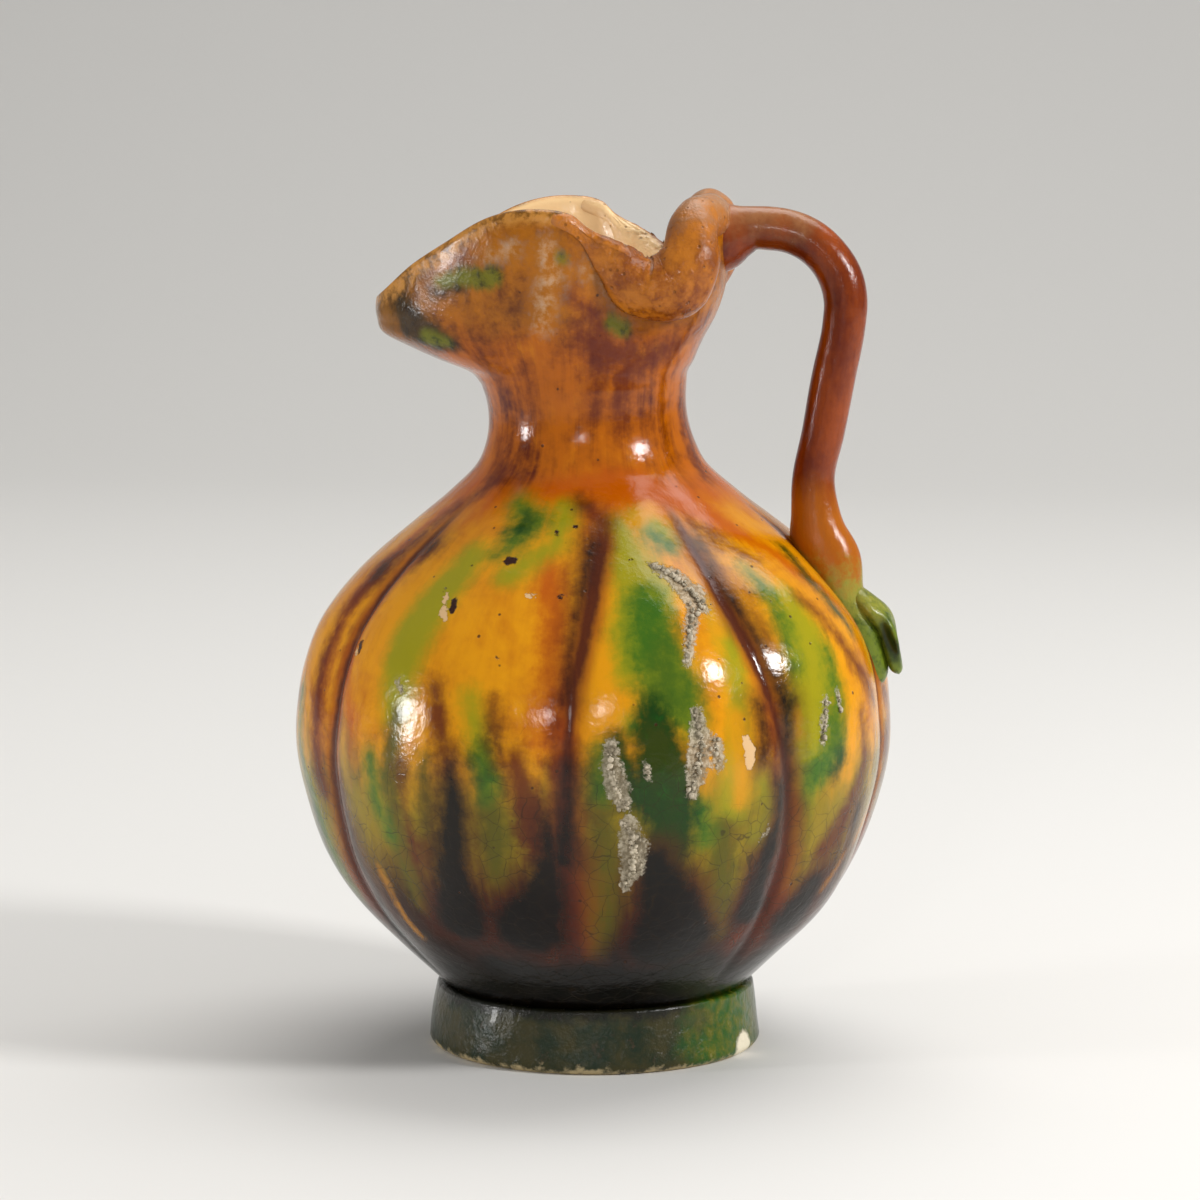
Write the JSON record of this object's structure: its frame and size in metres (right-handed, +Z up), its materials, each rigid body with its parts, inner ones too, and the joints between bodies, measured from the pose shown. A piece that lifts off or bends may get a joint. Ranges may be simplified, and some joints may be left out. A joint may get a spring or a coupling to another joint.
{
  "type": "oinochoe jug",
  "caption": "Small lobed pouring jug with a foot ring, a pinched beak mouth with a rolled rim, and a tall handle that ends in a leaf on the shoulder.",
  "frame": {"origin": "centre of the foot ring, on the plane that the jug stands on", "axes": "+Z up the axis of the belly; -X the way the beak points; +X the side of the handle; the XZ plane is the plane of near symmetry"},
  "size_m": [0.0756, 0.0735, 0.1069],
  "materials": {
    "belly_glaze": "glossy splashed lead glaze, golden yellow and green over dark drips",
    "mouth_glaze": "glossy amber glaze with brown and green mottling",
    "handle_glaze": "glossy amber-brown glaze",
    "foot_glaze": "glossy dark brown-green glaze, worn at the edge"
  },
  "bodies": {
    "root": {"foot_ring": "foot_glaze", "body_bowl": "belly_glaze", "body_shoulder": "belly_glaze", "neck": "mouth_glaze", "mouth_wall": "mouth_glaze", "rim_roll": "mouth_glaze", "handle_root": "handle_glaze", "handle_loop": "handle_glaze", "handle_base": "handle_glaze", "handle_tail": "handle_glaze", "tail_leaf": "handle_glaze"}
  },
  "joints": []
}
